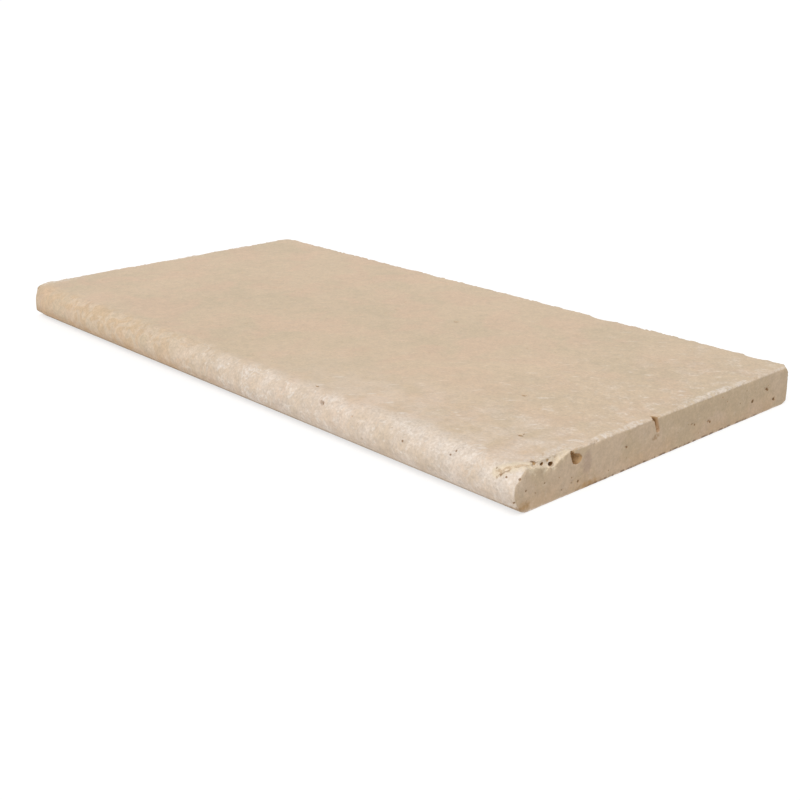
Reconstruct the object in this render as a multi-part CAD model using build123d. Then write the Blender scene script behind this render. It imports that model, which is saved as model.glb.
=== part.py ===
from build123d import *
import os
from math import cos, radians, sin, sqrt

# A bullnose coping of tumbled travertine: one slab, sawn to size, its front edge turned to a
# full half-round nose, then tumbled until every arris and corner is worn and chipped.
# X runs along the edge that the coping covers, -Y is the nose, +Z is up. The origin is the
# middle of the bed, the sawn underside that is laid in mortar. All sizes are in millimetres.

# Sizes of the sawn slab
LENGTH = 610
WIDTH = 305
THICKNESS = 30

# Wear from tumbling: rounded edges, and shallow scoops knocked out of them
ARRIS_RADIUS = 0.6
LEFT_CORNER_RADIUS = 15  # back corners, seen from above
RIGHT_CORNER_RADIUS = 2
TOP_SCOOP = (28, 13, 1.3)  # average spacing along a top arris, then half length and depth of a large scoop
BED_SCOOP = (48, 7, 0.25)  # the same along a bed arris
SMALLEST_SCOOP = 0.45  # share of a large one
SCOOP_SPREAD = (0.15, 0.85)  # where a scoop may lie in its share of the arris

# The front break is a ledge in the right end's top arris, where the stone gave way along a seam
# of holes. Its outline on the end: distance from the nose, and depth below the top.
FRONT_BREAK = (
    (12, -1), (15, 2.0), (18, 1.8), (25, 3.8), (36.5, 7.0), (39, 6.0), (44, 3.4), (50, 1.3), (53, -1))
BREAK_LEDGE = 2.6  # how far it runs into the end
BREAK_RISE = 0.9  # how much higher the ledge is at its back

# Scoops that show most: where they lie, the way they face, half length and depth
BACK_BREAKS = ((176, 17, 3.2), (29, 13, 2.4))  # back's top arris, from the right end
BACK_BREAK_OUTWARD = (0, 0.6, 1)
TOP_CORNER_BREAK = ((1, 1, 0.8), 15, 3.0)  # back right corner
BED_CORNER_BREAK = ((1, 1, -3), 13, 2.0)
NOSE_LEFT_BREAK = ((-0.7, -0.7, 0.1), 24, 4.6)  # nose's left end, half way up
NOSE_RIGHT_BREAK = ((0.25, -0.7, 0.7), 19, 3.1)  # nose's right end, between its front and the top
BED_CHIPS = ((73, 4, 0.5), (99, 4, 0.5), (150, 4, 0.5), (165, 5, 0.6), (233, 5, 0.5))  # from the nose

# Open holes natural to the stone. Each mouth is an outline in shares of half its size.
SEAM_HOLES = (  # in the wall behind the front break's ledge: from the nose, below the top, length, height
    (22, 1.3, 4.4, 2.4), (28.5, 3.2, 6.5, 1.8), (36.5, 5.2, 5.2, 2.6))
SEAM_DEPTH = 4.5
SEAM_FALL = 15  # degrees that they fall towards the back
SEAM_FLOOR = 0.6  # share of the mouth that is left at its floor
SEAM_MOUTH = ((-1, -0.5), (-0.4, -1), (1, -0.8), (1, 0.3), (0.3, 1), (-0.5, 0.6))
POCKET_FROM_NOSE = 59  # broad hole in the right end, deepest towards the nose
POCKET_BELOW_TOP = 7.3
POCKET_WIDTH = 10.5
POCKET_DEPTH = 8
POCKET_FLOOR = 0.4
POCKET_LEAN = 1.4  # how far its floor lies off its middle
POCKET_MOUTH = (
    (-1.5, 1.6), (-1.1, 0.3), (-0.8, -0.5), (0, -0.8), (0.9, -0.6), (1.1, 0), (0.4, 0.6), (-0.6, 0.8))
CLEFT_FROM_NOSE = 139  # upright hole in the right end that opens at its top arris
CLEFT_LENGTH = 12
CLEFT_WIDTH = 3.8
CLEFT_DEPTH = 5
CLEFT_FLOOR = 0.5
CLEFT_LEAN = 18  # degrees off upright
CLEFT_MOUTH = ((-1, 1), (-1, 0), (-0.6, -1), (0.6, -1), (1, 1))

# Small holes, with uneven mouths. Those in the sides lie with the bedding, which is level.
HOLE_LENGTH = 8  # the largest
HOLE_WIDTH = 4.5
HOLE_DEPTH = 5
HOLE_FLOOR = 0.5
HOLE_CORNERS = 6
HOLE_SLANT = 25  # most degrees off the bedding
SMALLEST_HOLE = 0.45  # share of the largest
NARROWEST_CORNER = 0.7  # share of the largest outline
END_HOLES = (  # from the nose, and share of the thickness above the bed
    (61, 0.23), (108, 0.58), (182, 0.47), (202, 0.37), (257, 0.42), (275, 0.6), (286, 0.26))
TOP_HOLES = ((202, 15), (89, 108), (39, 49), (252, 205))  # from the right end, from the nose
NOSE_HOLES = ((184, 42), (10, 62), (407, 20))  # from the right end, degrees above level
BED_HOLE_COUNT = 14
BACK_HOLE_COUNT = 7
LEFT_HOLE_COUNT = 5
HOLE_SPREAD = (0.2, 0.8)  # where a hole may lie in its share of a face

# Lines and shares that the features are placed from
NOSE_RADIUS = THICKNESS / 2
FRONT = -WIDTH / 2
BACK = WIDTH / 2
LEFT = -LENGTH / 2
RIGHT = LENGTH / 2
NOSE_LINE = FRONT + NOSE_RADIUS
WORN_BACK = (sqrt(2) - 1) * ARRIS_RADIUS  # how far rounding takes a square arris back
CORNER_INSET = (1 - sqrt(0.5)) * RIGHT_CORNER_RADIUS
GOLDEN = (sqrt(5) - 1) / 2
CLEAR = 1  # how far a cutter stands out of the face that it cuts


def uneven(step):
    """A value from 0 to 1 that never repeats from one step to the next."""
    return step * GOLDEN % 1


def spread(low, high, step):
    """An uneven value between two others."""
    return low + (high - low) * uneven(step)


def sawn_slab():
    """The slab as it leaves the saw and the profiling wheel: square behind, half-round in front."""
    nose = ThreePointArc((NOSE_LINE, THICKNESS), (FRONT, NOSE_RADIUS), (NOSE_LINE, 0))
    sawn = Polyline((NOSE_LINE, 0), (BACK, 0), (BACK, THICKNESS), (NOSE_LINE, THICKNESS))
    section = make_face(nose + sawn)
    return extrude(Plane.YZ * section, amount=LENGTH / 2, both=True)


def round_by_wear(slab):
    """Rounds the two back corners in plan, and then the outline of both ends and of the back."""
    left_upright = slab.edges().filter_by(Axis.Z).sort_by(Axis.X)[0]
    slab = fillet(left_upright, LEFT_CORNER_RADIUS)
    right_upright = slab.edges().filter_by(Axis.Z).sort_by(Axis.X)[-1]
    slab = fillet(right_upright, RIGHT_CORNER_RADIUS)
    arrises = [edge for edge in slab.edges() if on_an_arris(edge)]
    return fillet(arrises, ARRIS_RADIUS)


def on_an_arris(edge):
    """Tells the edges round the ends, the back and its corners from the seams of the faces."""
    middle = edge @ 0.5
    behind = middle.Y > BACK - LEFT_CORNER_RADIUS
    at_an_end = abs(middle.X) > RIGHT - ARRIS_RADIUS
    level = abs(edge.start_point().Z - edge.end_point().Z) < ARRIS_RADIUS
    around_nose = middle.Y < NOSE_LINE and at_an_end
    return around_nose or (level and (behind or at_an_end))


def scoop(at, outward, reach, bite):
    """A ball that takes a shallow scoop out of a surface at the point `at`. Its seam faces away."""
    radius = (reach**2 + bite**2) / (2 * bite)
    outward = Vector(*outward).normalized()
    centre = Vector(*at) + outward * (radius - bite)
    return Plane(centre, x_dir=outward, z_dir=outward.cross(Vector(0, 0, 1))) * Sphere(radius)


def scoops_along(start, end, outward, kind, first):
    """Scoops of one kind along one straight arris, unevenly spaced and sized."""
    start, end, outward = Vector(*start), Vector(*end), Vector(*outward).normalized()
    spacing, reach, bite = kind
    run = end - start
    count = max(1, round(run.length / spacing))
    scoops = []
    for k in range(count):
        share = (k + spread(*SCOOP_SPREAD, first + k)) / count
        size = spread(SMALLEST_SCOOP, 1, 3 * (first + k) + 1)
        at = start + run * share - outward * WORN_BACK
        scoops.append(scoop(at, outward, reach * size, bite * size))
    return scoops


def worn_arrises():
    """The scoops of the straight arrises of both ends and of the back, above and below."""
    scoops = []
    for up, height, kind in ((1, THICKNESS, TOP_SCOOP), (-1, 0, BED_SCOOP)):
        for side, end_x, corner in ((-1, LEFT, LEFT_CORNER_RADIUS), (1, RIGHT, RIGHT_CORNER_RADIUS)):
            start = (end_x, NOSE_LINE, height)
            end = (end_x, BACK - corner, height)
            scoops += scoops_along(start, end, (side, 0, up), kind, first=len(scoops))
        start = (LEFT + LEFT_CORNER_RADIUS, BACK, height)
        end = (RIGHT - RIGHT_CORNER_RADIUS, BACK, height)
        scoops += scoops_along(start, end, (0, 1, up), kind, first=len(scoops))
    return scoops


def large_scoops():
    """The scoops that show most: at the nose's ends, in the back and its corner, and in the bed."""
    upper = NOSE_RADIUS * sqrt(0.5)
    scoops = [scoop((LEFT, FRONT, NOSE_RADIUS), *NOSE_LEFT_BREAK)]
    scoops.append(scoop((RIGHT, NOSE_LINE - upper, NOSE_RADIUS + upper), *NOSE_RIGHT_BREAK))
    for from_right, reach, bite in BACK_BREAKS:
        scoops.append(scoop((RIGHT - from_right, BACK, THICKNESS), BACK_BREAK_OUTWARD, reach, bite))
    for height, kind in ((THICKNESS, TOP_CORNER_BREAK), (0, BED_CORNER_BREAK)):
        scoops.append(scoop((RIGHT - CORNER_INSET, BACK - CORNER_INSET, height), *kind))
    for from_nose, reach, bite in BED_CHIPS:
        scoops.append(scoop((RIGHT, FRONT + from_nose, 0), (1, 0, -1), reach, bite))
    return scoops


def outline(points, half_across, half_up):
    """A flat outline from points that are given in shares of its half sizes."""
    return Polygon(*[(x * half_across, y * half_up) for x, y in points], align=None)


def hollow(face, mouth, depth, floor_share, lean=0):
    """A cutter that starts clear of a face with the outline `mouth` and narrows to its floor."""
    floor = Pos(-lean, 0, -depth) * scale(mouth, by=floor_share)
    return loft([face * Pos(0, 0, CLEAR) * mouth, face * floor])


def right_end(from_nose, below_top, inside=0):
    """A plane in or behind the right end, its X towards the back and its Z out of the stone."""
    at = (RIGHT - inside, FRONT + from_nose, THICKNESS - below_top)
    return Plane(at, x_dir=(0, 1, 0), z_dir=(1, 0, 0))


def front_break():
    """The ledge beside the nose, cut along its outline and a little higher at its back."""
    gap = outline(FRONT_BREAK, 1, -1)
    face = right_end(0, 0)
    return loft([face * Pos(0, 0, CLEAR) * gap, face * Pos(0, BREAK_RISE, -BREAK_LEDGE) * gap])


def seam_holes():
    """The row of holes that lie open in the wall behind the ledge and fall towards the back."""
    holes = []
    for from_nose, below_top, length, height in SEAM_HOLES:
        mouth = outline(SEAM_MOUTH, length / 2, height / 2)
        wall = right_end(from_nose, below_top, inside=BREAK_LEDGE) * Rot(0, 0, -SEAM_FALL)
        holes.append(hollow(wall, mouth, SEAM_DEPTH, SEAM_FLOOR))
    return holes


def pocket():
    """The broad hole in the right end, with a horn that opens at the arris above it."""
    mouth = outline(POCKET_MOUTH, POCKET_WIDTH / 2, POCKET_WIDTH / 2)
    face = right_end(POCKET_FROM_NOSE, POCKET_BELOW_TOP)
    return hollow(face, mouth, POCKET_DEPTH, POCKET_FLOOR, lean=POCKET_LEAN)


def cleft():
    """The upright hole in the right end, wedge-shaped, open at the top arris."""
    mouth = outline(CLEFT_MOUTH, CLEFT_WIDTH / 2, CLEFT_LENGTH)
    return hollow(right_end(CLEFT_FROM_NOSE, 0) * Rot(0, 0, CLEFT_LEAN), mouth, CLEFT_DEPTH, CLEFT_FLOOR)


def small_hole(face, step):
    """A small hole at the origin of a face, with an uneven mouth that `step` shapes."""
    size = spread(SMALLEST_HOLE, 1, 5 * step)
    corners = []
    for k in range(HOLE_CORNERS):
        swing = spread(NARROWEST_CORNER, 1, HOLE_CORNERS * step + k) * size
        turn = radians(360 * k / HOLE_CORNERS)
        corners.append((swing * cos(turn), swing * sin(turn)))
    mouth = outline(corners, HOLE_LENGTH / 2, HOLE_WIDTH / 2)
    slant = Rot(0, 0, spread(-HOLE_SLANT, HOLE_SLANT, 4 * step))
    return hollow(face * slant, mouth, HOLE_DEPTH * size, HOLE_FLOOR)


def hole_faces():
    """Where the small holes lie: a plane in the stone's face for each, its Z out of the stone."""
    along, back, down = Vector(1, 0, 0), Vector(0, 1, 0), Vector(0, 0, -1)
    faces = [right_end(from_nose, THICKNESS * (1 - share)) for from_nose, share in END_HOLES]
    for from_right, from_nose in TOP_HOLES:
        faces.append(Plane((RIGHT - from_right, FRONT + from_nose, THICKNESS)))
    for from_right, rise in NOSE_HOLES:
        out = Vector(0, -cos(radians(rise)), sin(radians(rise)))
        middle = Vector(RIGHT - from_right, NOSE_LINE, NOSE_RADIUS)
        faces.append(Plane(middle + out * NOSE_RADIUS, x_dir=along, z_dir=out))
    for k in range(LEFT_HOLE_COUNT):
        y = FRONT + WIDTH * (k + spread(*HOLE_SPREAD, k)) / LEFT_HOLE_COUNT
        faces.append(Plane((LEFT, y, THICKNESS * spread(*HOLE_SPREAD, 4 * k)), x_dir=back, z_dir=-along))
    for k in range(BACK_HOLE_COUNT):
        x = LEFT + LENGTH * (k + spread(*HOLE_SPREAD, k)) / BACK_HOLE_COUNT
        faces.append(Plane((x, BACK, THICKNESS * spread(*HOLE_SPREAD, 3 * k)), x_dir=along, z_dir=back))
    for k in range(BED_HOLE_COUNT):
        x = LEFT + LENGTH * (k + 0.5) / BED_HOLE_COUNT
        y = spread(NOSE_LINE, BACK - LEFT_CORNER_RADIUS, k + 3)
        faces.append(Plane((x, y, 0), x_dir=along, z_dir=down))
    return faces


slab = round_by_wear(sawn_slab())
slab -= worn_arrises() + large_scoops()
slab -= front_break()
slab -= seam_holes() + [pocket(), cleft()]
slab -= [small_hole(face, step) for step, face in enumerate(hole_faces())]
os.makedirs("parts", exist_ok=True)
export_step(slab, "parts/coping_slab.step")
print("volume, litres", round(slab.volume / 1e6, 3), "faces", len(slab.faces()), "solids", len(slab.solids()))
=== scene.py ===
from math import radians

import bmesh
import bpy
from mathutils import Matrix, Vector


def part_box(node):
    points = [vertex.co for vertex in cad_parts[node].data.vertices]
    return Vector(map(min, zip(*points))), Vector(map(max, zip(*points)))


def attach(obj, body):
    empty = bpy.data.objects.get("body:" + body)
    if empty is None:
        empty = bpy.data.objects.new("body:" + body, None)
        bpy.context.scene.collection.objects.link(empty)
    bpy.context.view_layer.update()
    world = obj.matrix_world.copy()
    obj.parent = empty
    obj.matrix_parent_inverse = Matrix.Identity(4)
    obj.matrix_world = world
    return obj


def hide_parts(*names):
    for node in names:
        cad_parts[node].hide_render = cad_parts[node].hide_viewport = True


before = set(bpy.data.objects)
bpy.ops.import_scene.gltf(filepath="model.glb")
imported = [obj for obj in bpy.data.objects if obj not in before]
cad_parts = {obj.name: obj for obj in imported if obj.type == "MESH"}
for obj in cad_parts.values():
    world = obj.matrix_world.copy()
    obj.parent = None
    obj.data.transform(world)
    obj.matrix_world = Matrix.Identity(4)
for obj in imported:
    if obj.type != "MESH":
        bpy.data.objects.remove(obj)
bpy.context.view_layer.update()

# The stone slab: one piece of travertine, sawn and honed, with its front edge turned to a
# half-round nose. Tumbling has then rounded and crumbled its arrises, and left open the holes
# and the broken seam that the stone had by nature. Its relief is worked on a fine skin.
low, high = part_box("coping_slab")
NOSE_RADIUS = (high.z - low.z) / 2
NOSE_LINE = low.y + NOSE_RADIUS
SKIN = 0.0007
MOST_TRIANGLES = 194000


class Wire:
    """An output of a node. Arithmetic on it adds Math nodes to the same tree."""

    def __init__(self, tree, socket=None):
        self.tree = tree
        self.socket = socket

    def node(self, kind, settings=None, inputs=None, out=0):
        """Adds a node, sets it, feeds its sockets with values or wires, and gives one of its outputs."""
        made = self.tree.nodes.new(kind)
        for name, value in (settings or {}).items():
            setattr(made, name, value)
        for name, value in (inputs or {}).items():
            socket = Wire.open_socket(made.inputs, name)
            if isinstance(value, Wire):
                self.tree.links.new(value.socket, socket)
            else:
                socket.default_value = value
        return Wire(self.tree, Wire.open_socket(made.outputs, out))

    @staticmethod
    def open_socket(sockets, name):
        """A socket by its number, or the first one in use that has the name."""
        if isinstance(name, int):
            return sockets[name]
        return next(socket for socket in sockets if socket.name == name and socket.enabled)

    def math(self, operation, *values):
        return self.node("ShaderNodeMath", {"operation": operation}, dict(enumerate(values)))

    def __add__(self, other):
        return self.math("ADD", self, other)

    def __radd__(self, other):
        return self.math("ADD", other, self)

    def __sub__(self, other):
        return self.math("SUBTRACT", self, other)

    def __rsub__(self, other):
        return self.math("SUBTRACT", other, self)

    def __mul__(self, other):
        return self.math("MULTIPLY", self, other)

    def __rmul__(self, other):
        return self.math("MULTIPLY", other, self)

    def __pow__(self, other):
        return self.math("POWER", self, other)

    def __abs__(self):
        return self.math("ABSOLUTE", self)

    def least(self, other):
        return self.math("MINIMUM", self, other)

    def most(self, other):
        return self.math("MAXIMUM", self, other)

    def ease(self, start, end):
        """0 at `start`, 1 at `end`, with a smooth change between them, whichever is the larger."""
        return self.node("ShaderNodeMapRange", {"interpolation_type": "SMOOTHSTEP"},
                         {"Value": self, "From Min": start, "From Max": end})

    def parts(self):
        """X, Y and Z of a vector."""
        split = self.node("ShaderNodeSeparateXYZ", None, {0: self}).socket.node
        return [Wire(self.tree, out) for out in split.outputs]

    def vector_math(self, operation, inputs, out=0):
        return self.node("ShaderNodeVectorMath", {"operation": operation}, inputs, out)

    def stretched(self, by):
        return self.vector_math("MULTIPLY", {0: self, 1: by})

    def scaled(self, by):
        return self.vector_math("SCALE", {0: self, "Scale": by})

    def moved(self, by):
        return self.vector_math("ADD", {0: self, 1: by})

    def gap_to(self, place):
        """How far this point is from a place."""
        return self.vector_math("DISTANCE", {0: self, 1: place}, "Value")

    def gap_to_line(self, start, end):
        """How far this point is from the straight line between two places."""
        run = Vector(end) - Vector(start)
        way = self.moved(-Vector(start))
        share = way.vector_math("DOT_PRODUCT", {0: way, 1: run / run.length_squared}, "Value")
        nearest = way.vector_math("SCALE", {0: run, "Scale": share.most(0).least(1)})
        return way.gap_to(nearest)

    def noise(self, size, detail=3, roughness=0.5, distortion=0.0, start=None):
        """Cloudy noise with features about `size` metres across. `start` keeps two of them unlike."""
        point = self.moved(start) if start else self
        return point.node("ShaderNodeTexNoise", None, {
            "Vector": point, "Scale": 1 / size, "Detail": detail, "Roughness": roughness,
            "Distortion": distortion}, "Fac")

    def cells(self, size, out="Distance"):
        """Voronoi cells about `size` metres across: distance from each centre, or a random colour."""
        return self.node("ShaderNodeTexVoronoi", None, {"Vector": self, "Scale": 1 / size}, out)


def slab_depths(point):
    """How deep a point lies under the unworn surface, and how far from an arris, an end and the profile."""
    x, y, z = point.parts()
    from_end = high.x - abs(x)
    from_back = high.y - y
    ahead = (NOSE_LINE - y).most(0)
    above = z - NOSE_RADIUS
    from_profile = NOSE_RADIUS - (ahead * ahead + above * above) ** 0.5
    nearer = from_end.least(from_back)
    farther = from_end.most(from_back)
    depth = nearer.least(from_profile)
    from_arris = nearer.most(farther.least(from_profile))
    return depth, from_arris, from_end, from_profile


def worn_stretches(point):
    """1 along the stretches of the arrises that are worn most, 0 along the sharpest ones."""
    return point.noise(0.026, detail=1, start=(0.9, 1.7, 0.3)).ease(0.38, 0.60)


def pits(point, size, share, radius):
    """Round pits in some of the cells: 1 in the middle of a pit, 0 outside it."""
    chance = point.cells(size, "Color").parts()[0]
    chosen = chance.math("LESS_THAN", chance, share)
    return chosen * point.cells(size).ease(radius / size, 0.3 * radius / size)


# Single open pits: those of the right end by Y, Z and radius, with how far behind its face they
# reach, and those of the nose and the top beside it by X, Y, Z and radius
END_PITS = (
    (-0.1409, 0.0148, 0.0008), (-0.1238, 0.0151, 0.0006), (-0.0985, 0.0077, 0.0006),
    (-0.0917, 0.0068, 0.0010), (-0.0434, 0.0168, 0.0009), (0.0323, 0.0130, 0.0009),
    (0.0512, 0.0103, 0.0010), (0.1049, 0.0125, 0.0014), (0.1238, 0.0170, 0.0011),
    (0.1344, 0.0070, 0.0010), (-0.1076, 0.0056, 0.0006), (0.0880, 0.0150, 0.0006))
NOSE_PITS = (
    (0.2489, -0.1494, 0.0240, 0.0008), (0.2514, -0.1468, 0.0267, 0.0009),
    (0.3038, -0.1457, 0.0234, 0.0010), (0.3044, -0.1509, 0.0101, 0.0009),
    (0.2864, -0.1474, 0.0262, 0.0007), (0.2064, -0.1510, 0.0213, 0.0009),
    (0.2920, -0.1490, 0.0235, 0.0009), (0.2963, -0.1493, 0.0236, 0.0008),
    (0.2663, -0.1006, 0.0300, 0.0008))
END_PIT_REACH = 0.003


def open_pits(point):
    """The single open pits of the right end and of the nose: 1 in the middle of one, 0 outside it."""
    flat = point.stretched((0, 1, 1))
    found = 0
    for y, z, radius in END_PITS:
        found = flat.gap_to((0, y, z)).ease(radius * 1.2, radius * 0.5).most(found)
    found = found * point.parts()[0].ease(high.x - END_PIT_REACH - 0.001, high.x - END_PIT_REACH)
    for x, y, z, radius in NOSE_PITS:
        found = point.gap_to((x, y, z)).ease(radius * 1.2, radius * 0.5).most(found)
    return found


# Where the stone gave way: the front break, the scar that runs up the nose to it with a rusty
# vein beside it, the nose's left corner, and in the right end the pocket and the cleft
FRONT_BREAK = (high.x - 0.001, low.y + 0.033, high.z - 0.003)
FRONT_BREAK_REACH = 0.026
LEDGE_MIDDLE = low.y + 0.0325
SCAR = ((0.2893, -0.1487, 0.0249), (0.2961, -0.1436, 0.0284), (0.3040, -0.1345, 0.0298))
RUST_VEIN = ((0.2900, -0.1502, 0.0218), (0.2950, -0.1462, 0.0264))
LEFT_CORNER = (low.x, low.y, 0.017)
LEFT_CORNER_TOP = (low.x, low.y + 0.006, high.z)
POCKET = (high.x, -0.0940, 0.0225)
CLEFT = ((high.x, -0.0135, high.z), (high.x, -0.0100, 0.0190))
CLEFT_FOOT = (high.x, -0.0120, 0.0158)


def scar_gap(point):
    """Distance from the rough seam that runs up the nose to the front break, made uneven."""
    uneven = (point.noise(0.005) - 0.5) * 0.004
    lower = point.gap_to_line(SCAR[0], SCAR[1])
    upper = point.gap_to_line(SCAR[1], SCAR[2])
    return lower.least(upper) + uneven


def arris_losses(point, from_arris, size):
    """Crumbs and chips along the arrises, more at the top than at the bed."""
    upper = point.parts()[2].ease(0.010, 0.026) * 0.9 + 0.1
    near = from_arris.ease(size["Wear width"], 0.0) * upper
    crumbs = point.noise(0.0055, detail=2) * 0.5 + point.noise(0.0030, detail=2) * 0.5
    wear = near * crumbs.ease(0.35, 0.65) * size["Wear depth"] * (worn_stretches(point) * 0.7 + 0.4)
    nearest = from_arris.ease(0.0040, 0.0005) * upper
    chips = point.noise(0.009, start=(3.1, 0.7, 0.2)).ease(0.54, 0.70) * nearest * size["Chip depth"]
    return [wear, chips]


def break_losses(point, depth, size):
    """The crumbled front break, the scar, the nose's left corner, the worn cleft and the ragged pocket."""
    z = point.parts()[2]
    crumble = point.gap_to(FRONT_BREAK).ease(FRONT_BREAK_REACH, 0.3 * FRONT_BREAK_REACH)
    crumble = crumble * z.ease(0.018, 0.023) * point.noise(0.0045).ease(0.3, 0.75) * size["Crumble depth"]
    scar = scar_gap(point).ease(0.0024, 0.0004) * size["Scar depth"]
    corner = point.gap_to(LEFT_CORNER).ease(0.024, 0.006)
    corner = (corner + point.gap_to(LEFT_CORNER_TOP).ease(0.014, 0.002) * 0.3) * size["Corner loss"]
    groove = point.gap_to_line(*CLEFT).ease(0.0018, 0.0006) * z.ease(0.0178, 0.0195)
    ragged = point.gap_to(POCKET).ease(0.0100, 0.0080) * depth.ease(0.0004, 0.0010)
    ragged = ragged * point.noise(0.0024, detail=2)
    return [crumble, scar, corner, (groove + ragged * 0.6) * size["Groove depth"]]


# How deep each kind of relief goes, and how far the wear reaches from an arris
RELIEF = {
    "Honed wave": 0.00005,
    "Wear depth": 0.0009,
    "Wear width": 0.0055,
    "Chip depth": 0.0012,
    "Pit depth": 0.0011,
    "Crumble depth": 0.0011,
    "Scar depth": 0.0011,
    "Corner loss": 0.0025,
    "Groove depth": 0.0015,
    "Open pit depth": 0.0006}


def relief_tree(finish):
    """Geometry nodes that carve the relief of tumbled travertine into the slab's skin."""
    tree = bpy.data.node_groups.new("tumbled_relief", "GeometryNodeTree")
    face = tree.interface
    face.new_socket("Geometry", in_out="INPUT", socket_type="NodeSocketGeometry")
    for name in RELIEF:
        face.new_socket(name, in_out="INPUT", socket_type="NodeSocketFloat")
    face.new_socket("Geometry", in_out="OUTPUT", socket_type="NodeSocketGeometry")
    given = tree.nodes.new("NodeGroupInput")
    size = {name: Wire(tree, given.outputs[name]) for name in RELIEF}
    start = Wire(tree, given.outputs["Geometry"])

    point = start.node("GeometryNodeInputPosition")
    normal = start.node("GeometryNodeInputNormal")
    depth, from_arris = slab_depths(point)[:2]
    round_pits = pits(point, size=0.011, share=0.35, radius=0.0012)
    pitted = round_pits * size["Pit depth"] + open_pits(point) * size["Open pit depth"]
    removed = point.noise(0.016, detail=2) * size["Honed wave"]
    for loss in arris_losses(point, from_arris, size) + [pitted] + break_losses(point, depth, size):
        removed = removed + loss

    carved = start.node("GeometryNodeSetPosition", None,
                        {"Geometry": start, "Offset": normal.scaled(removed * -1)})
    real = start.node("GeometryNodeRealizeInstances", None, {"Geometry": carved})
    dressed = start.node("GeometryNodeSetMaterial", None, {"Geometry": real, "Material": finish})
    last = tree.nodes.new("NodeGroupOutput")
    tree.links.new(dressed.socket, last.inputs["Geometry"])
    return tree


# The stone's own colours, then those of its sawn ends, its stains, its cleft and its holes, and of painted
# shade
BEIGE = (0.648, 0.503, 0.354, 1)
ROSE = (0.665, 0.496, 0.352, 1)
SAGE = (0.628, 0.497, 0.346, 1)
OCHRE = (0.650, 0.440, 0.255, 1)
PEACH = (0.570, 0.372, 0.200, 1)
WASH = (0.742, 0.622, 0.520, 1)
BLOOM = (0.800, 0.705, 0.615, 1)
CREAM = (0.780, 0.650, 0.470, 1)
SAWN = (0.530, 0.406, 0.271, 1)
SAWN_WARM = (0.590, 0.410, 0.262, 1)
SAWN_PINK = (0.600, 0.455, 0.350, 1)
IRON_SMEAR = (0.400, 0.282, 0.212, 1)
IRON_SEEP = (0.440, 0.270, 0.125, 1)
PAINTED_FOOT_SHADOW = (0.300, 0.190, 0.105, 1)
CLEFT_EDGE = (0.500, 0.315, 0.192, 1)
CLEFT_FLOOR = (0.320, 0.170, 0.088, 1)
AMBER = (0.620, 0.420, 0.220, 1)
TAN = (0.500, 0.330, 0.170, 1)
RUST_AND_SHADE = (0.330, 0.185, 0.080, 1)
PIT_BROWN = (0.266, 0.149, 0.066, 1)
EARTH_AND_SHADE = (0.170, 0.095, 0.045, 1)


def mix(first, second, share):
    """The first colour where the share is 0, the second where it is 1."""
    return share.node("ShaderNodeMix", {"data_type": "RGBA"},
                      {"Factor": share, "A": first, "B": second}, "Result")


class Stone:
    """A point of the slab as its finish sees it: where it lies, and the stone's patterns there."""

    def __init__(self, tree):
        point = Wire(tree).node("ShaderNodeTexCoord", out="Object")
        self.point = point
        self.x, self.y, self.z = point.parts()
        self.depth, self.from_arris, self.from_end, self.from_profile = slab_depths(point)

        # Patterns, from the coarsest to the finest
        self.drift = point.noise(0.110, detail=2)
        self.blush = point.noise(0.040, detail=4, distortion=0.5, start=(2.1, 0.4, 1.6))
        self.clouds = point.noise(0.034, detail=4, distortion=0.3, start=(1.3, 4.2, 0.6))
        self.patches = point.noise(0.019, distortion=1.4)
        self.frost = point.noise(0.016, detail=7, roughness=0.66, distortion=0.3, start=(0.7, 2.2, 3.1))
        self.mottle = point.noise(0.0065, detail=5, roughness=0.65)
        self.crumbs = point.noise(0.0028, roughness=0.6)
        self.grain = point.noise(0.0018, roughness=0.65)

        # Regions of the slab
        self.on_nose = self.y.ease(NOSE_LINE + 0.006, NOSE_LINE - 0.008)
        self.on_end = self.from_end.ease(0.0016, 0.0006) * self.from_profile.ease(0.0008, 0.0020)
        self.leftward = self.x.ease(0.10, -0.10)
        self.rightward = self.x.ease(-0.15, 0.10)
        self.near_right = self.x.ease(0.10, 0.300)
        self.near_nose = self.y.ease(-0.050, -0.125) * self.x.ease(-0.02, 0.18)
        self.beside_break = abs(self.y - LEDGE_MIDDLE).ease(0.0225, 0.0195)
        ledge = self.from_end.ease(0.0045, 0.0032) * self.from_end.ease(0.0003, 0.0008)
        self.ledge = ledge * self.beside_break * self.z.ease(0.0195, 0.0225)
        self.scar = scar_gap(point)
        self.vein = point.gap_to_line(*RUST_VEIN) + (self.mottle - 0.5) * 0.003

    def spot(self, place, reach):
        """A soft-edged, uneven patch round a place, as far as its reach along X, Y and Z."""
        away = self.point.moved(-Vector(place)).stretched([1 / axis_reach for axis_reach in reach])
        length = away.vector_math("LENGTH", {0: away}, "Value")
        return (length + (self.mottle - 0.5) * 1.6).ease(1.25, 0.55)

    def pores(self):
        """Pores of two sizes, strongest on the sawn ends and faintest on the honed top."""
        coarse = pits(self.point, size=0.0080, share=0.30, radius=0.0008)
        fine = pits(self.point.moved((0.4, 0.9, 0.3)), size=0.0042, share=0.30, radius=0.0005)
        return coarse.most(fine * 0.7) * (self.on_end + self.on_nose * 0.4 + 0.12)


def ground_colour(stone):
    """Beige clouds that turn to grey-green and to rose. The rose fades towards the right end."""
    colour = mix(SAGE, BEIGE, (stone.clouds + stone.drift * 0.6).ease(0.62, 0.92))
    rosy = stone.blush.ease(0.44, 0.64) * (1 - stone.x.ease(0.08, 0.24) * 0.35)
    return mix(colour, ROSE, rosy)


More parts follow.
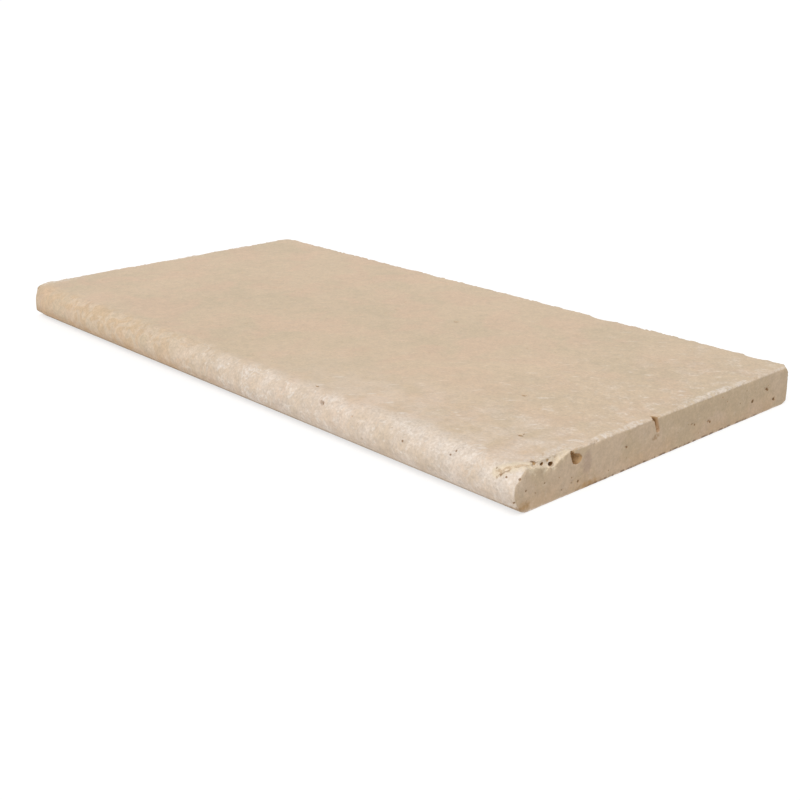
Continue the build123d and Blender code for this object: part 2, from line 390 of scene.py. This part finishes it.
def nose_colour(stone, colour):
    """Ochre patches and a peach foot on the nose's left, and a pinkish wash on and behind its right."""
    ochre = stone.patches.ease(0.30, 0.56) * stone.on_nose * stone.leftward
    colour = mix(colour, OCHRE, ochre * 0.42)
    along_bed = stone.z.ease(0.0130, 0.0070) * stone.y.ease(NOSE_LINE, NOSE_LINE - 0.004)
    colour = mix(colour, PEACH, along_bed * stone.x.ease(0.10, -0.04) * 0.75)
    wash = stone.on_nose * stone.rightward * (stone.frost.ease(0.32, 0.62) * 0.5 + 0.5)
    colour = mix(colour, WASH, wash * 0.80)
    behind = stone.near_nose * (1 - stone.on_nose) * stone.frost.ease(0.34, 0.60)
    return mix(colour, WASH, behind * 0.45)


def end_colour(stone, colour):
    """The sawn ends: a shade browner, warmer towards the bed and pinkish in places."""
    colour = mix(colour, SAWN, stone.on_end)
    warm = stone.z.ease(0.019, 0.003) * stone.blush.ease(0.36, 0.56)
    colour = mix(colour, SAWN_WARM, stone.on_end * warm * 0.5)
    return mix(colour, SAWN_PINK, stone.on_end * stone.clouds.ease(0.50, 0.64) * 0.3)


def break_colour(stone, colour):
    """The front break's pale ledge, and the scar down the nose: pale, with ochre and rust in it."""
    colour = mix(colour, CREAM, (stone.ledge * 0.65).most(stone.scar.ease(0.0060, 0.0028) * 0.75))
    ochre = stone.scar.ease(0.0021, 0.0011) * stone.crumbs.ease(0.42, 0.56)
    colour = mix(colour, TAN, ochre * 0.7)
    rust = stone.vein.ease(0.0018, 0.0008) * stone.crumbs.ease(0.42, 0.54)
    return mix(colour, RUST_AND_SHADE, rust * 0.8)


# Pale spots of the nose and of the top beside it: place, reach along X, Y and Z, and strength
PALE_SPOTS = (
    ((0.252, -0.1455, 0.0260), (0.024, 0.009, 0.008), 1.0),
    ((0.288, -0.1480, 0.0225), (0.014, 0.010, 0.009), 1.0),
    ((0.203, -0.1390, 0.0290), (0.040, 0.009, 0.006), 0.7))
LAYERS_TURN = -0.83  # radians that the stone's layers, which the strokes follow, lie turned about Z


def bloom_share(stone):
    """How far pale bloom covers the stone: frost, spots, curls, swirls, flecks and strokes of it."""
    point, x, on_nose = stone.point, stone.x, stone.on_nose
    share = (on_nose * (stone.rightward * 0.45 + 0.05) + stone.near_right * 0.40).least(1)
    bloom = (stone.frost + share * 0.12).ease(0.54, 0.76) * share.ease(0.0, 0.6) * 0.75
    for place, reach, strength in PALE_SPOTS:
        bloom = bloom.most(stone.spot(place, reach) * (strength * 0.7))
    bloom = bloom * (stone.grain.ease(0.28, 0.70) * 0.7 + 0.3)

    ridges = abs(point.noise(0.011, detail=2, distortion=1.2, start=(5.2, 0.3, 1.9)) - 0.5)
    gate = point.noise(0.016, detail=2, start=(4.1, 2.6, 0.7)).ease(0.48, 0.58)
    middle = x.ease(-0.08, -0.01) * x.ease(0.16, 0.09) * on_nose
    curls = ridges.ease(0.052, 0.012) * gate * (on_nose * stone.rightward * 0.4 + middle * 0.6 + 0.04)
    swirls = abs(stone.patches - 0.46).ease(0.100, 0.020) * on_nose * stone.leftward * x.ease(-0.29, -0.20)
    flecks = point.noise(0.0024, detail=2, roughness=0.6, start=(0.2, 3.3, 0.8)).ease(0.60, 0.67)
    flecks = flecks * stone.frost.ease(0.42, 0.56) * (on_nose * stone.rightward).most(stone.near_right * 0.5)
    layered = point.node("ShaderNodeVectorRotate", {"rotation_type": "Z_AXIS"},
                         {"Vector": point, "Angle": LAYERS_TURN})
    strokes = layered.stretched((0.35, 1, 1)).noise(0.0042, roughness=0.55).ease(0.60, 0.72)
    strokes = strokes * (0.14 + stone.near_right.most(stone.near_nose) * 0.55)
    bloom = (bloom + curls * 0.8 + swirls * 0.23 + flecks * 0.9 + strokes).least(1)
    return bloom * (1 - stone.on_end * 0.85)


# Width of the pale worn arris along the ends, and how much more it is along the worn stretches
WORN_LEAST = 0.0022
WORN_MORE = 0.0042


def worn_bloom(stone, bloom):
    """The bloom with the ends' pale worn arrises and crumbs behind the break, and less on the scar."""
    from_end, z = stone.from_end, stone.z
    stretches = worn_stretches(stone.point)
    worn = (stretches * WORN_MORE + WORN_LEAST - from_end).ease(-0.0008, 0.0016)
    worn = worn * (1 - stone.on_end) * z.ease(0.006, 0.018)
    worn = worn * (stone.crumbs.ease(0.42, 0.60) * 0.8 + 0.2) * (stretches * 0.5 + 0.5)
    behind = from_end.ease(0.0030, 0.0042) * from_end.ease(0.0120, 0.0080)
    behind = behind * stone.beside_break * z.ease(0.0270, 0.0285) * stone.crumbs.ease(0.40, 0.58)
    bloom = bloom.most(worn * 0.85).most(behind * 0.7) * (1 - stone.ledge * 0.5)
    return bloom * (1 - stone.scar.ease(0.0055, 0.0028).most(stone.vein.ease(0.0020, 0.0010)) * 0.7)


# Iron stains by place and reach: beside the three-cornered pocket, below it, and at the nose's foot
SMEAR = ((high.x, low.y + 0.0685, 0.0160), (0.010, 0.0045, 0.0085))
SEEP = ((high.x, low.y + 0.0720, 0.0010), (0.010, 0.0120, 0.0040))
TIP = ((high.x - 0.002, low.y + 0.0090, 0.0030), (0.010, 0.0075, 0.0050))


def stains_and_painted_shade(stone, colour):
    """Iron stains of the right end, painted shade in dark dashes along its bottom arris, and painted shadow
    along the nose's foot.
    """
    x, y, z = stone.x, stone.y, stone.z
    colour = mix(colour, IRON_SMEAR, stone.spot(*SMEAR) * 0.55)
    seep = stone.spot(*SEEP) * (stone.crumbs.ease(0.30, 0.65) * 0.6 + 0.4)
    tip = stone.spot(*TIP) * (stone.crumbs.ease(0.30, 0.65) * 0.7 + 0.3)
    colour = mix(colour, IRON_SEEP, seep.most(tip) * 0.9)
    # Painted shade of small chips: dark dashes along the right end's bottom arris
    chip_shade_dashes = stone.point.stretched((0, 1, 0)).noise(0.007, roughness=0.6).ease(0.44, 0.56)
    shaded_rim = z.ease(0.0024, 0.0012) * x.ease(high.x - 0.0018, high.x - 0.0008)
    shaded_rim = shaded_rim * y.ease(-0.100, -0.060) * y.ease(0.125, 0.100)
    colour = mix(colour, EARTH_AND_SHADE, shaded_rim * chip_shade_dashes * 0.85)
    # Painted shadow along the foot of the nose, where it turns under towards the floor, weaker towards the
    # right
    foot_shadow = z.ease(0.0066, 0.0036) * y.ease(NOSE_LINE - 0.0050, NOSE_LINE - 0.0085)
    foot_shadow = foot_shadow * (stone.mottle.ease(0.35, 0.60) * 0.4 + 0.6)
    return mix(colour, PAINTED_FOOT_SHADOW, foot_shadow * (0.80 - x.ease(0.0, 0.25) * 0.35))


# Worn places that lie deep under the unworn surface and yet are no dark holes, and one small hole
# that is as pale as the nose: the place, the two gaps from it between which that ends, the depth
LEFT_BREAK = ((low.x, low.y, NOSE_RADIUS), (0.034, 0.022), 0.010)
RIGHT_BREAK = ((high.x, low.y + 0.0044, high.z - 0.0044), (0.022, 0.016), 0.0035)
NOSE_HOLE = ((0.121, -0.1487, 0.025), (0.006, 0.004), 0.010)
ROUND_CORNER = ((low.x, high.y, 0), (0.017, 0.012), 0.010)

# Where the painted shade inside the pocket is darkest: it turns from rust brown to amber away from there
POCKET_PAINTED_SHADE = (0.3035, -0.0975, 0.0170)


def wear_depth(stone, in_cleft, in_pocket):
    """How deep the wear goes at a point, below which a hole begins."""
    point = stone.point
    flat = point.stretched((1, 1, 0))
    worn_off = stone.from_arris.ease(0.0060, 0.0010) * 0.0026 + 0.0003
    for seen, (place, gaps, deep) in ((point, LEFT_BREAK), (point, RIGHT_BREAK),
                                      (flat, ROUND_CORNER), (point, NOSE_HOLE)):
        worn_off = worn_off.most(seen.gap_to(place).ease(*gaps) * deep)
    worn_off = worn_off.most(stone.ledge * 0.0038)
    return worn_off * (1 - in_cleft.most(in_pocket)) + 0.0003


def hole_colour(stone, colour):
    """Brown in the holes, made darker the deeper they go as painted shade, in the pocket, the cleft and the
    open pits.
    """
    point, z, crumbs = stone.point, stone.z, stone.crumbs
    crack = point.gap_to_line(*CLEFT)
    in_cleft = crack.ease(0.0060, 0.0040)
    in_pocket = point.gap_to(POCKET).ease(0.0095, 0.0075)
    below = stone.depth - wear_depth(stone, in_cleft, in_pocket)
    # The holes' own brown, darkened with depth below the wear as painted shade
    colour = mix(colour, TAN, below.ease(0.0, 0.0006))
    colour = mix(colour, RUST_AND_SHADE, below.ease(0.0005, 0.0028))
    colour = mix(colour, EARTH_AND_SHADE, below.ease(0.0025, 0.0050) * (1 - in_cleft) * (1 - stone.beside_break * 0.8))

    # Painted shade inside the pocket: its amber darkens to rust brown towards its lower left
    painted_pocket_shade = point.gap_to(POCKET_PAINTED_SHADE).ease(0.0095, 0.0030) + (crumbs - 0.5) * 2.4
    pocket_brown_and_shade = mix(AMBER, RUST_AND_SHADE, painted_pocket_shade.most(0).least(1))
    colour = mix(colour, pocket_brown_and_shade, in_pocket * below.ease(0.0, 0.0005) * 0.85)
    along_crack = crack.ease(0.0024, 0.0012) * z.ease(0.0178, 0.0195) * stone.from_end.ease(0.010, 0.008)
    colour = mix(colour, mix(CLEFT_EDGE, CLEFT_FLOOR, crack.ease(0.0014, 0.0004)), along_crack)
    crumbled = stone.spot(CLEFT_FOOT, (0.004, 0.0045, 0.0022)) * crumbs.ease(0.38, 0.60)
    colour = mix(colour, RUST_AND_SHADE, crumbled * 0.6)
    return mix(colour, PIT_BROWN, open_pits(point).ease(0.1, 0.7) * 0.85)


# Height and strength of the finest grain as bump, and how much the honed stone shines
GRAIN_HEIGHT = 0.0006
GRAIN_STRENGTH = 0.5
SHINE = 0.35


def travertine():
    """Honed beige travertine with clouds, pale bloom and worn arrises, and brown open holes."""
    material = bpy.data.materials.new("tumbled_travertine")
    material.use_nodes = True
    tree = material.node_tree
    shader = tree.nodes["Principled BSDF"]
    stone = Stone(tree)
    mottle, grain = stone.mottle, stone.grain

    colour = break_colour(stone, end_colour(stone, nose_colour(stone, ground_colour(stone))))
    bloom = worn_bloom(stone, bloom_share(stone))
    colour = mix(colour, BLOOM, bloom)
    pores = stone.pores()
    colour = mix(hole_colour(stone, stains_and_painted_shade(stone, colour)), RUST_AND_SHADE, pores * 0.8)

    lively = stone.on_nose.most(stone.near_right * 0.5)
    bright = 1 + (stone.drift - 0.5) * 0.10 + (stone.clouds - 0.5) * 0.10
    bright = bright + (mottle - 0.5) * (lively * 0.16 + 0.28) + (grain - 0.5) * (lively * 0.16 + 0.36)
    tree.links.new(colour.scaled(bright).socket, shader.inputs["Base Color"])

    roughness = 0.60 + bloom * 0.18 + stone.on_end * 0.12
    tree.links.new(roughness.socket, shader.inputs["Roughness"])
    height = mottle * 0.25 + grain * 0.25 + stone.point.noise(0.0008, detail=2) * 0.15
    height = height - pores * 0.5 + bloom * 0.10
    bump = height.node("ShaderNodeBump", None, {
        "Strength": GRAIN_STRENGTH, "Distance": GRAIN_HEIGHT, "Height": height}, "Normal")
    tree.links.new(bump.socket, shader.inputs["Normal"])
    shader.inputs["Specular IOR Level"].default_value = SHINE
    return material


def evaluated_mesh(thing, name):
    """The thing's mesh with its modifiers worked in, as a plain mesh."""
    bpy.context.view_layer.update()
    graph = bpy.context.evaluated_depsgraph_get()
    mesh = bpy.data.meshes.new_from_object(thing.evaluated_get(graph))
    mesh.name = name
    return mesh


stone_finish = travertine()
shape = bmesh.new()
shape.from_mesh(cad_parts["coping_slab"].data)
bmesh.ops.remove_doubles(shape, verts=shape.verts, dist=1e-6)
skin_mesh = bpy.data.meshes.new("coping_stone")
shape.to_mesh(skin_mesh)
shape.free()
stone = bpy.data.objects.new("coping_stone", skin_mesh)
bpy.context.scene.collection.objects.link(stone)

skin = stone.modifiers.new("skin", "REMESH")
skin.mode = "VOXEL"
skin.voxel_size = SKIN
relief = stone.modifiers.new("relief", "NODES")
relief.node_group = relief_tree(stone_finish)
for socket in relief.node_group.interface.items_tree:
    if socket.name in RELIEF:
        relief[socket.identifier] = RELIEF[socket.name]
stone.data = evaluated_mesh(stone, "coping_stone")
stone.modifiers.clear()

fewer = stone.modifiers.new("fewer", "DECIMATE")
fewer.ratio = min(1, MOST_TRIANGLES / (2 * len(stone.data.polygons)))
stone.data = evaluated_mesh(stone, "coping_stone")
stone.modifiers.clear()
stone.data.polygons.foreach_set("use_smooth", [True] * len(stone.data.polygons))
stone.data.materials.clear()
stone.data.materials.append(stone_finish)
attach(stone, "root")
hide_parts("coping_slab")


# The camera: before the nose, near the right end, where the photograph was taken. It looks
# back to the left and down on the slab, through a slightly long lens.
VIEW_FROM = (0.7566, -0.6593, 0.3153)
VIEW_LEFT_OF_BACK = 47.38
VIEW_DOWN = 19.54
LENS = 55.86

camera = bpy.data.objects.new("camera", bpy.data.cameras.new("camera"))
camera.location = VIEW_FROM
camera.rotation_euler = (radians(90 - VIEW_DOWN), 0, radians(VIEW_LEFT_OF_BACK))
camera.data.lens = LENS
camera.data.sensor_width = 36
bpy.context.scene.collection.objects.link(camera)
bpy.context.scene.camera = camera


# The studio floor: matt white, so wide that it runs on as the backdrop. What the camera sees
# of it is lifted to meet the white world behind it, and it keeps the slab's soft shadow.
FLOOR_SIDE = 24
FLOOR_WHITE = (0.86, 0.86, 0.86, 1)
FLOOR_SEEN = (0.38, 0.38, 0.38, 1)
FLOOR_LIFT = 0.69
WHITE = (1, 1, 1, 1)


def seen_directly(tree):
    """1 for rays from the camera and for what gloss or glass shows, 0 for rays that carry light."""
    rays = Wire(tree).node("ShaderNodeLightPath").socket.node.outputs
    from_camera, from_gloss, through_glass = [
        Wire(tree, rays[name]) for name in ("Is Camera Ray", "Is Glossy Ray", "Is Transmission Ray")]
    return from_camera.most(from_gloss).most(through_glass)


def floor_finish():
    """Matt white for the light, and a darker matt with a glow of its own for the camera."""
    material = bpy.data.materials.new("studio_floor")
    material.use_nodes = True
    tree = material.node_tree
    tree.nodes.clear()
    direct = seen_directly(tree)
    plain = direct.node("ShaderNodeBsdfDiffuse", None, {"Color": FLOOR_WHITE})
    matt = direct.node("ShaderNodeBsdfDiffuse", None, {"Color": FLOOR_SEEN})
    lift = direct.node("ShaderNodeEmission", None, {"Color": WHITE, "Strength": FLOOR_LIFT})
    lifted = direct.node("ShaderNodeAddShader", None, {0: matt, 1: lift})
    surface = direct.node("ShaderNodeMixShader", None, {0: direct, 1: plain, 2: lifted})
    end = tree.nodes.new("ShaderNodeOutputMaterial")
    tree.links.new(surface.socket, end.inputs["Surface"])
    return material


corners = [(x * FLOOR_SIDE / 2, y * FLOOR_SIDE / 2, 0) for x, y in ((-1, -1), (1, -1), (1, 1), (-1, 1))]
floor_mesh = bpy.data.meshes.new("floor")
floor_mesh.from_pydata(corners, [], [(0, 1, 2, 3)])
floor_mesh.materials.append(floor_finish())
floor = bpy.data.objects.new("floor", floor_mesh)
bpy.context.scene.collection.objects.link(floor)


# The light: a white world all round, which is dimmer as a light than it looks, and one broad
# soft lamp high before the nose, a little to the camera's left.
WORLD_LIGHT = 0.55
KEY_FROM = (0.75, -1.5, 2.6)
KEY_STRENGTH = 1.45
KEY_SPREAD = 40

world = bpy.data.worlds.new("studio")
world.use_nodes = True
bpy.context.scene.world = world
tree = world.node_tree
tree.nodes.clear()
direct = seen_directly(tree)
strength = direct * (1 - WORLD_LIGHT) + WORLD_LIGHT
sky = direct.node("ShaderNodeBackground", None, {"Color": WHITE, "Strength": strength})
end = tree.nodes.new("ShaderNodeOutputWorld")
tree.links.new(sky.socket, end.inputs["Surface"])

key = bpy.data.objects.new("key", bpy.data.lights.new("key", "SUN"))
key.data.energy = KEY_STRENGTH
key.data.angle = radians(KEY_SPREAD)
key.location = KEY_FROM
key.rotation_euler = (-Vector(KEY_FROM)).to_track_quat("-Z", "Y").to_euler()
bpy.context.scene.collection.objects.link(key)
bpy.context.scene.view_settings.view_transform = "Standard"
